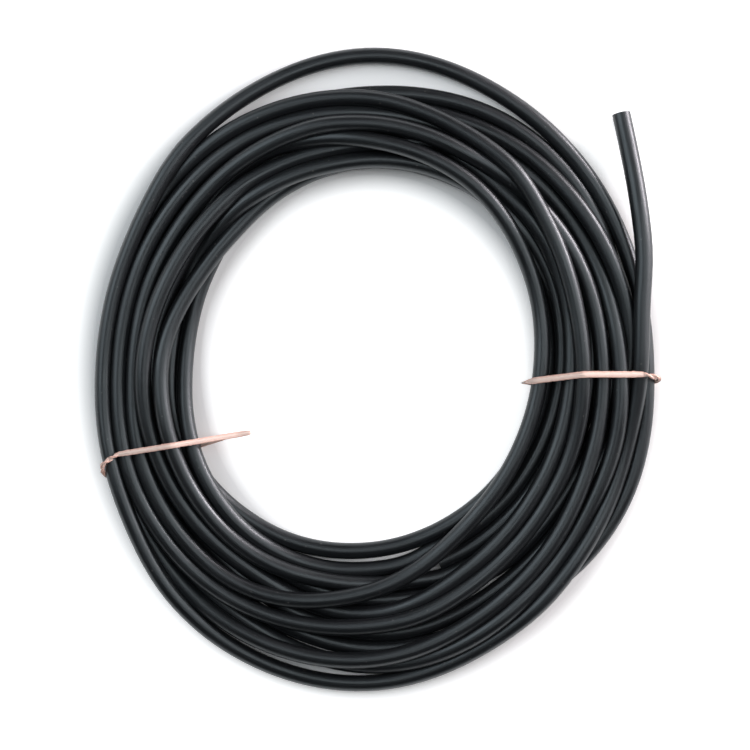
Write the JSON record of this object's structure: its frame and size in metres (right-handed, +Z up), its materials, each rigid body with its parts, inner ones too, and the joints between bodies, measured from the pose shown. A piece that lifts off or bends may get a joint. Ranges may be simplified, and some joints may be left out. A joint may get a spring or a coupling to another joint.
{
  "type": "soaker hose",
  "caption": "Loose round coil of small black garden soaker hose, one bare open end, held flat by two twisted wire ties.",
  "frame": {"origin": "middle of the coil's footprint, on the floor that it lies on", "axes": "+Z up from the floor, +Y along the coil's longer width towards the free end's side, +X towards the side where the free end leaves the coil"},
  "size_m": [0.2213, 0.2485, 0.0155],
  "materials": {
    "hose_rubber": "satin",
    "tie_covering": "matte",
    "tie_steel": "brushed"
  },
  "bodies": {
    "root": {"hose_coil": "hose_rubber", "hose_free_end": "hose_rubber", "left_tie_strip": "tie_covering", "left_tie_wire": "tie_steel", "right_tie_strip": "tie_covering", "right_tie_wire": "tie_steel"}
  },
  "joints": []
}
